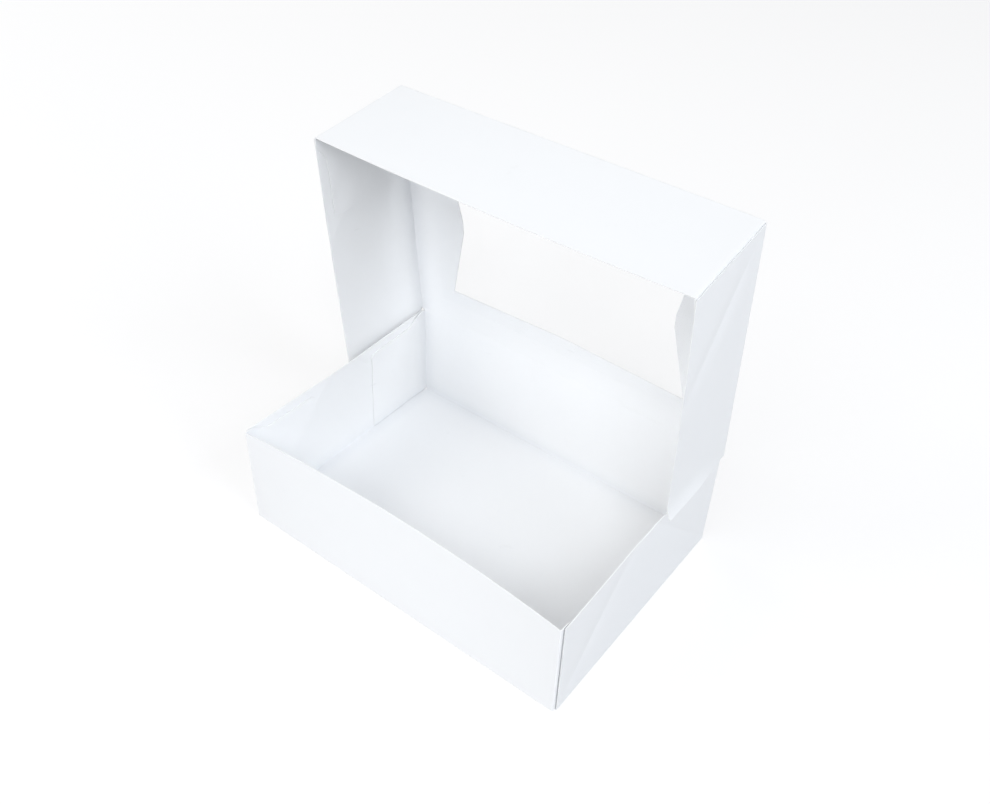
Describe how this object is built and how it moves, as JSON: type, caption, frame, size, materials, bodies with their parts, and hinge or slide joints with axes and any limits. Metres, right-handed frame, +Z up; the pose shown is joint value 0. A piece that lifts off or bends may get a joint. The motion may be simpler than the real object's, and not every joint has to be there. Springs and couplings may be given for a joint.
{
  "type": "bakery box",
  "caption": "White folded paperboard box with a shallow tray and a hinged, windowed lid standing open.",
  "frame": {"origin": "middle of the tray's underside, on the surface the box stands on", "axes": "+X along the long side, +Y from the front wall to the hinge, +Z up"},
  "size_m": [0.2054, 0.144, 0.2081],
  "materials": {
    "board": "smooth white coated paperboard",
    "film": "clear film"
  },
  "bodies": {
    "tray": {"tray": "board"},
    "lid": {"lid": "board", "window_film": "film"}
  },
  "joints": [
    {"name": "lid_hinge", "type": "hinge", "parent": "tray", "child": "lid", "pos_m": [0, 0.07178, 0.06243], "axis": [-1, 0, 0], "range_deg": [-84.7, 119.5]}
  ]
}
